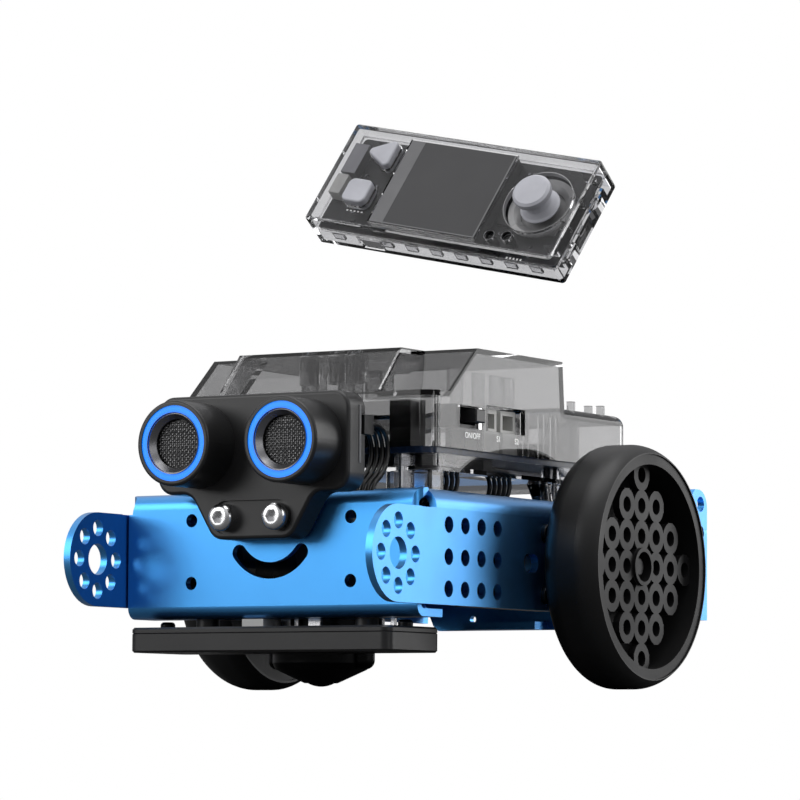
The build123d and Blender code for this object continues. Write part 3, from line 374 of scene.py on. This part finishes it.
def make_floor():
    """Pale floor: seen through from below, and it throws little light back at the object."""
    mesh = bpy.data.meshes.new("floor")
    corners = [(x * FLOOR_REACH, y * FLOOR_REACH, 0) for x, y in ((-1, -1), (1, -1), (1, 1), (-1, 1))]
    mesh.from_pydata(corners, [], [(0, 1, 2, 3)])
    floor = bpy.data.objects.new("floor", mesh)
    floor.location.z = -FLOOR_DROP
    bpy.context.scene.collection.objects.link(floor)
    mat = bpy.data.materials.new("pale_floor")
    mat.use_nodes = True
    tree = mat.node_tree
    base = tree.nodes["Principled BSDF"]
    base.inputs["Roughness"].default_value = 0.9
    path = tree.nodes.new("ShaderNodeLightPath")
    bounce = tree.nodes.new("ShaderNodeMath")
    bounce.operation = "MAXIMUM"
    shade = tree.nodes.new("ShaderNodeMapRange")
    shade.inputs["To Min"].default_value = FLOOR_SEEN
    shade.inputs["To Max"].default_value = FLOOR_BOUNCE
    tree.links.new(path.outputs["Is Diffuse Ray"], bounce.inputs[0])
    tree.links.new(path.outputs["Is Glossy Ray"], bounce.inputs[1])
    tree.links.new(bounce.outputs[0], shade.inputs["Value"])
    tree.links.new(shade.outputs["Result"], base.inputs["Base Color"])
    side = tree.nodes.new("ShaderNodeNewGeometry")
    clear = tree.nodes.new("ShaderNodeBsdfTransparent")
    mix = tree.nodes.new("ShaderNodeMixShader")
    tree.links.new(side.outputs["Backfacing"], mix.inputs["Fac"])
    tree.links.new(base.outputs[0], mix.inputs[1])
    tree.links.new(clear.outputs[0], mix.inputs[2])
    tree.links.new(mix.outputs[0], tree.nodes["Material Output"].inputs["Surface"])
    mesh.materials.append(mat)


def make_stage():
    make_floor()
    for name, place, size, power in LIGHTS:
        area_light(name, place, size, power)


# ---------------------------------------------------------------- wires
# routes are (y, z) points in mm, from the plug to the wire's end; each wire keeps to one x
SENSOR_ROUTE = [(-59.5, 64.9), (-54.9, 65.1), (-51.7, 61.4), (-51.8, 56.2), (-54.8, 52.4),
                (-58.2, 50.4), (-59.4, 46.4), (-58.4, 42.0)]
MOTOR_ROUTE = [(-16.0, 56.4), (-5.85, 56.4), (-3.6, 52.5), (-5.85, 48.6), (-13.5, 48.3),
               (-19.0, 45.4), (-27.0, 44.0), (-35.3, 44.2)]
BAR_ROUTE = [(-38.0, 56.4), (-30.95, 56.4), (-28.7, 52.5), (-30.95, 48.6), (-38.3, 48.3),
             (-42.8, 45.6), (-45.3, 40.6), (-46.8, 33.0), (-50.6, 24.2)]
SENSOR_WIRE_X = [23.3, 24.9, 26.5, 28.1]
MOTOR_WIRE_X = [29.9, 31.4, 32.9, 34.4, 35.9]
BAR_WIRE_X = [30.3, 31.9, 33.5, 35.1]


def make_wire(name, node, x, route):
    """One insulated wire, in place of its plain CAD node."""
    curve = bpy.data.curves.new(name, "CURVE")
    curve.dimensions = "3D"
    curve.bevel_depth = 0.6 * MM
    curve.bevel_resolution = 5
    curve.resolution_u = 10
    curve.use_fill_caps = True
    spline = curve.splines.new("NURBS")
    spline.points.add(len(route) - 1)
    for point, (y, z) in zip(spline.points, route):
        point.co = (x * MM, y * MM, z * MM, 1)
    spline.order_u = 3
    spline.use_endpoint_u = True
    wire = bpy.data.objects.new(name, curve)
    bpy.context.scene.collection.objects.link(wire)
    curve.materials.append(materials["wire_black"].mat)
    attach(wire, "chassis")
    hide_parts(node)
    y, z = route[0]


def make_wires():
    for i, x in enumerate(SENSOR_WIRE_X):
        make_wire(f"sensor_wire_{i}", "sensor_wires", x, SENSOR_ROUTE)
    for i, x in enumerate(BAR_WIRE_X):
        make_wire(f"bar_wire_{i}", "line_sensor_wires", x, BAR_ROUTE)
    for i, x in enumerate(MOTOR_WIRE_X):
        make_wire(f"motor_wire_left_{i}", "motor_wires", x, MOTOR_ROUTE)
        make_wire(f"motor_wire_right_{i}", "motor_wires", -x, MOTOR_ROUTE)


# ---------------------------------------------------------------- fine detail
# sizes and places are in mm; the controller's own frame lies flat, PAD lifts it to its rest pose
LIFT_AXIS = Vector((0.979352, 0.158057, -0.126045))
LIFT_PIVOT = Vector((9.506, -20.075, 85.950))
DOCK_CENTRE = Vector((0.0, 34.2, 80.15))
TURN = Matrix.Rotation(math.radians(60), 4, LIFT_AXIS)
PAD = Matrix.Translation(LIFT_PIVOT) @ TURN @ Matrix.Translation(DOCK_CENTRE - LIFT_PIVOT)
HERE = Matrix.Identity(4)
BOARD_TOP = 60.0                  # top face of the main board
BOARD_AREA = (-36, 27, -40, 32)   # x low, x high, y low, y high for its small parts
PAD_BOARD_TOP = 0.4               # top face of the controller's board, in its own frame
PAD_AREA = (-36, 37, -14, 14)
PAD_KEEP_OUT = [(-20, 15, -15, 14.5), (20, 36, -8, 8), (-38, -33, 0, 12)]
PAD_GLASS = 5.8 - 0.15            # the display's face, just under the case's top
PRINT = 0.03                      # thickness of printed marks
MESH_PITCH, MESH_REACH = 0.6, 5.95
MESH_HALF = 0.11                  # half the width of one woven wire
MESH_SWING = 0.11                 # how far it passes over and under
MESH_Y = -80.25                   # middle of the woven sheet
MESH_STEPS = 10                   # wires lie at -9 to 9 pitches from the eye's middle
LEG_SCREW_Y = -46.5
LABEL_X = 40.53                   # face of the cover's left wall
LABELS = [("ON/OFF", -30.9, 63.6, 2.1), ("S1", -17.8, 63.6, 2.1), ("S2", -8.6, 63.5, 2.1)]


def standing(height, base=BOARD_TOP):
    """The (low, high) pair of a part that stands on a board."""
    return base, base + height


class Kit:
    """Bevelled blocks, rods and rings of one finish, gathered into one piece. Sizes in mm."""

    def __init__(self, name, slot, body, place=HERE, finish=None):
        self.name, self.slot, self.body, self.place = name, slot, body, place
        self.finish = finish or slot
        self.bm = bmesh.new()

    def block(self, x, y, z, bevel=0.12):
        """A block from three (low, high) pairs."""
        size = [b - a for a, b in (x, y, z)]
        middle = [(a + b) / 2 for a, b in (x, y, z)]
        move = Matrix.Translation(middle) @ Matrix.Diagonal((*size, 1))
        # a bevel in the shared mesh frees slots that later vertices fill in an order that varies by run,
        # so each block is bevelled on its own and then added
        part = bmesh.new()
        bmesh.ops.create_cube(part, size=1, matrix=move)
        offset = min(bevel, 0.3 * min(size))
        bmesh.ops.bevel(part, geom=part.edges[:], offset=offset, segments=2, affect="EDGES", profile=0.7)
        mesh = bpy.data.meshes.new("block")
        part.to_mesh(mesh)
        part.free()
        self.bm.from_mesh(mesh)
        bpy.data.meshes.remove(mesh)

    def lathe(self, profile, centre, axis="Z", sides=40):
        """A closed (radius, height) profile turned about an axis through centre."""
        rings = []
        for i in range(sides):
            a = 2 * math.pi * i / sides
            ring = []
            for r, h in profile:
                p = (r * math.cos(a), r * math.sin(a), h)
                if axis == "X":
                    p = (p[2], p[0], p[1])
                elif axis == "Y":
                    p = (p[1], p[2], p[0])
                ring.append(self.bm.verts.new(Vector(p) + Vector(centre)))
            rings.append(ring)
        n = len(profile)
        for i in range(sides):
            one, two = rings[i], rings[(i + 1) % sides]
            for j in range(n):
                self.bm.faces.new((one[j], two[j], two[(j + 1) % n], one[(j + 1) % n]))

    def rod(self, centre, r, a, b):
        """An upright rod from height a to b, with its edges cut."""
        e = min(0.12, 0.3 * r)
        profile = [(0.001, a), (r - e, a), (r, a + e), (r, b - e), (r - e, b), (0.001, b)]
        self.lathe(profile, centre, sides=28)

    def ring(self, centre, r_in, r_out, a, b, axis="Z", sides=48):
        """A ring from a to b along its axis, with its edges cut."""
        e = 0.25 * min(r_out - r_in, b - a)
        profile = [(r_in + e, a), (r_out - e, a), (r_out, a + e), (r_out, b - e),
                   (r_out - e, b), (r_in + e, b), (r_in, b - e), (r_in, a + e)]
        self.lathe(profile, centre, axis, sides)

    def done(self):
        """Turn what was gathered into one object that rides its body."""
        bm = self.bm
        bmesh.ops.transform(bm, matrix=Matrix.Scale(MM, 4) @ self.place, verts=bm.verts)
        bmesh.ops.recalc_face_normals(bm, faces=bm.faces)
        mesh = bpy.data.meshes.new(self.name)
        bm.to_mesh(mesh)
        bm.free()
        obj = bpy.data.objects.new(self.name, mesh)
        bpy.context.scene.collection.objects.link(obj)
        mesh.materials.append(materials[self.finish].mat)
        for face in mesh.polygons:
            face.use_smooth = False
        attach(obj, self.body)


def scatter(kit, count, area, z, sizes, keep_out):
    """Small parts at random places of a half-millimetre grid; the keep_out areas stay bare."""
    x0, x1, y0, y1 = area
    for _ in range(count):
        w, d, h = random.choice(sizes)
        if random.random() < 0.5:
            w, d = d, w
        x = round(random.uniform(x0, x1) * 2) / 2
        y = round(random.uniform(y0, y1) * 2) / 2
        if any(a - w < x < b + w and c - d < y < e + d for a, b, c, e in keep_out):
            continue
        kit.block((x - w / 2, x + w / 2), (y - d / 2, y + d / 2), standing(h, z), 0.06)


def main_board_parts():
    """Chips, sockets, cans and print that show on the main board through the cover."""
    chips = Kit("board_chips", "black_plastic", "chassis")
    chips.block((-6, 6), (-14, -2), standing(1.4))
    chips.block((8, 15), (-36, -29), standing(1.3))
    chips.block((-34, -28), (-32, -24), standing(1.6))
    chips.block((-30, -4), (-46, -43.5), standing(7.5))
    chips.block((2, 18), (-46, -43.5), standing(7.5))
    for y in (-20, -11, -2):
        chips.block((-38.2, -31), (y, y + 7.2), standing(8.5))
    chips.rod((14, 6, 0), 3.1, *standing(5.5))
    chips.rod((21, -30, 0), 3.1, *standing(7))
    scatter(chips, 90, BOARD_AREA, BOARD_TOP, [(1.0, 0.6, 0.5), (1.6, 0.8, 0.6), (3.0, 2.6, 1.1)],
            [(-6, 6, -14, -2), (-8, 8, 36, 42), (9, 35, 9, 35), (-30, -8, 4, 24)])
    chips.done()
    metal = Kit("board_metal", "silver", "chassis", finish="module_grey")
    metal.block((-28, -10), (6, 22), standing(3), 0.4)
    metal.rod((-20, -34, 0), 3.2, *standing(6.5))
    metal.rod((-12, -34, 0), 3.2, *standing(6.5))
    scatter(metal, 60, BOARD_AREA, BOARD_TOP, [(1.0, 0.5, 0.45), (0.8, 0.8, 0.4)],
            [(-6, 6, -14, -2), (-28, -10, 6, 22), (9, 35, 9, 35)])
    metal.done()
    marks = Kit("board_print", "white_plastic", "chassis", finish="print_with_painted_glow")
    for x, y in ((-22, -20), (10, -18), (-8, 18)):
        for line in (y, y + 5):
            marks.block((x, x + 8), (line, line + 0.25), standing(PRINT), 0.005)
    marks.done()


def shell_details():
    """Clear wells, ribs, rings and posts that show through the cover's walls."""
    wells = Kit("shell_wells", "smoky_clear", "chassis")
    for x in (-26, -14.5, -6):
        walls = [((x, x + 5), (-8, -7.3)), ((x, x + 5), (-3.7, -3)),
                 ((x, x + 0.7), (-7.3, -3.7)), ((x + 4.3, x + 5), (-7.3, -3.7))]
        for across, along in walls:
            wells.block(across, along, (76.5, 83.5), 0.15)
    wells.done()
    ribs = Kit("shell_ribs", "smoky_clear", "chassis")
    for y in (-24.6, -1.5, 6.5, 13):
        ribs.block((37.4, 39.0), (y, y + 0.9), (60.2, 71.8), 0.15)
    for y in (-16, -5, 4, 11):
        ribs.block((24.0, 24.9), (y, y + 5.5), (65.5, 82.5), 0.2)
    ribs.ring((26.5, 6.0, 66.0), 5.2, 6.4, 0.0, 0.9, "X")
    ribs.ring((21.0, 12.0, 0.0), 6.8, 7.8, 66.0, 71.5)
    ribs.ring((31.0, 30.0, 0.0), 4.0, 4.9, 60.2, 71.0)
    ribs.done()
    posts = Kit("shell_posts", "smoky_clear", "chassis")
    for x in (-36.5, 33.0):
        posts.block((x, x + 2.2), (30, 33), (60.1, 72.0), 0.3)
    posts.done()


def sensor_details():
    """Woven wire over each eye with a dark rim round it, and a pale strip at each end of the case."""
    wires = Kit("eye_mesh_wires", "mesh_metal", "chassis")
    for eye in (-EYE_X, EYE_X):
        for turn in (0, 1):
            for i in range(-MESH_STEPS + 1, MESH_STEPS):
                weave(wires.bm, eye, turn, i)
    wires.done()
    seam = Kit("sensor_seam", "mesh_metal", "chassis", finish="bezel_grey")
    seam.block((28.5, 28.93), (-66.5, -65.6), (55, 69.5), 0.15)
    seam.block((-28.93, -28.5), (-66.5, -65.6), (55, 69.5), 0.15)
    seam.done()
    rims = Kit("eye_rims", "silver", "chassis", finish="gunmetal")
    profile = [(7.55, -82.75), (7.62, -83.0), (7.75, -83.05), (7.8, -82.7)]
    for eye in (-EYE_X, EYE_X):
        rims.lathe(profile, (eye, 0, EYE_Z), "Y", 64)
    rims.done()


def weave(bm, eye, turn, index):
    """One wire of the mesh, upright or (turn 1) level: a square tube that passes over and under."""
    c = index * MESH_PITCH
    end = math.sqrt(MESH_REACH * MESH_REACH - c * c)
    count = max(2, int(2 * end / (MESH_PITCH / 2)))
    last = None
    for k in range(count + 1):
        t = -end + 2 * end * k / count
        swing = math.cos(math.pi * t / MESH_PITCH + math.pi * (index + turn)) * MESH_SWING
        y = MESH_Y + swing
        ring = []
        for a, b in ((-1, -1), (1, -1), (1, 1), (-1, 1)):
            side = c + a * MESH_HALF
            x, z = (t, side) if turn else (side, t)
            ring.append(bm.verts.new((eye + x, y + 0.75 * b * MESH_HALF, EYE_Z + z)))
        if last:
            for j in range(4):
                bm.faces.new((last[j], last[(j + 1) % 4], ring[(j + 1) % 4], ring[j]))
        last = ring


def screw_threads():
    """Threads on the long screws that show between the chassis and the board."""
    kit = Kit("leg_screw_threads", "silver", "chassis")
    root, crest = 1.55, 1.92
    low, high, lead = 49.6, 57.6, 0.62
    for x in (30.0, -30.0):
        z = low
        while z < high:
            profile = [(root, z), (crest, z + 0.22), (crest, z + 0.3), (root, z + 0.5)]
            kit.lathe(profile, (x, LEG_SCREW_Y, 0), sides=32)
            z += lead
    kit.done()


def bar_details():
    """Soldered pins on the back of the line sensor bar."""
    pins = Kit("bar_pins", "silver", "chassis")
    for x0, x1 in ((-2.9, -0.2), (1.0, 2.2), (5.2, 8.8), (25.2, 27.3), (29.7, 30.9)):
        pins.block((x0, x1), (-52.6, -51.4), (14.7, 16.9), 0.1)
    pins.done()


def pad_details():
    """Small parts, print and trim of the controller."""
    chips = Kit("pad_chips", "black_plastic", "controller", PAD)
    chips.block((15.6, 19.6), (2, 6), standing(1.0, PAD_BOARD_TOP))
    chips.block((-31, -26), (-6, -1), standing(1.0, PAD_BOARD_TOP))
    chips.block((16, 20), (-6, -3), standing(0.9, PAD_BOARD_TOP))
    scatter(chips, 46, PAD_AREA, PAD_BOARD_TOP, [(1.0, 0.6, 0.5), (1.4, 0.8, 0.6)], PAD_KEEP_OUT)
    chips.done()
    tin = Kit("pad_small_parts", "silver", "controller", PAD, "module_grey")
    scatter(tin, 46, PAD_AREA, PAD_BOARD_TOP, [(0.9, 0.5, 0.45), (0.7, 0.7, 0.4)], PAD_KEEP_OUT)
    tin.done()
    white = Kit("pad_connector", "white_plastic", "controller", PAD)
    white.block((-37.9, -34.2), (-6.2, 0.3), standing(3.6, PAD_BOARD_TOP), 0.3)
    white.done()
    seam = Kit("pad_seam", "pad_clear", "controller", PAD)
    tooth = (-3.5, -0.9)
    for y in (-15.0, 14.2):
        for i in range(9):
            x = -34 + 8 * i
            seam.block((x, x + 3.5), (y, y + 0.8), tooth, 0.15)
    for x in (-37.6, 36.8):
        for i in range(3):
            seam.block((x, x + 0.8), (-11 + 8.5 * i, -8 + 8.5 * i), tooth, 0.15)
    for y in (-12, -4, 4, 12):
        seam.block((35.2, 38.0), (y - 0.35, y + 0.35), (0.6, 4.2), 0.1)
    seam.done()
    legends = Kit("pad_print", "white_plastic", "controller", PAD, "print_with_painted_glow")
    ink = standing(PRINT, PAD_BOARD_TOP)
    for i in range(5):
        legends.block((23.0 + 1.1 * i, 23.5 + 1.1 * i), (-14.6, -14.0), ink, 0.005)
        legends.block((-32.0 + 1.2 * i, -31.4 + 1.2 * i), (-9.0, -8.6), ink, 0.005)
        legends.block((-33.0 + 1.2 * i, -32.4 + 1.2 * i), (12.0, 12.4), ink, 0.005)
    legends.done()
    for x, y in ((18.6, -12.3), (23.8, -11.7)):
        eyes = Kit(f"pad_sensor_rim_{int(x)}", "silver", "controller", PAD, "gunmetal")
        eyes.ring((x, y, 0), 1.42, 1.58, 5.0, 5.82)
        eyes.done()
    dish = Kit("stick_lip", "module_grey", "controller", PAD, "dish_grey")
    dish.ring((27.8, 0.2, 0), 9.75, 9.98, 4.3, 5.84, sides=72)
    dish.done()
    edge = Kit("screen_bezel", "screen_dark", "controller", PAD, "bezel_grey")
    x0, x1, y0, y1 = -19.6, 14.4, -14.0, 13.6
    edge.block((x0, x0 + 4.4), (y0, y1), standing(0.04, PAD_GLASS), 0.01)
    edge.block((x1 - 0.5, x1), (y0, y1), standing(0.04, PAD_GLASS), 0.01)
    edge.block((x0, x1), (y0, y0 + 0.4), standing(0.045, PAD_GLASS), 0.01)
    edge.done()


def label(text, y, z, size):
    """Small raised word on the cover's left wall."""
    curve = bpy.data.curves.new("label", "FONT")
    curve.body = text
    curve.size = size * MM
    curve.extrude = 0.02 * MM
    curve.offset = 0.01 * MM
    curve.align_x = "CENTER"
    curve.align_y = "CENTER"
    obj = bpy.data.objects.new("label_" + "".join(c for c in text if c.isalnum()), curve)
    turn = Matrix(((0, 0, 1, 0), (1, 0, 0, 0), (0, 1, 0, 0), (0, 0, 0, 1)))
    obj.matrix_world = Matrix.Translation((LABEL_X * MM, y * MM, z * MM)) @ turn
    curve.materials.append(materials["print_with_painted_glow"].mat)
    bpy.context.scene.collection.objects.link(obj)
    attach(obj, "chassis")


def make_details():
    main_board_parts()
    shell_details()
    sensor_details()
    screw_threads()
    bar_details()
    pad_details()
    for text, y, z, size in LABELS:
        label(text, y, z, size)


make_camera()
make_world()
make_stage()
make_wires()
dress_nodes()
make_details()
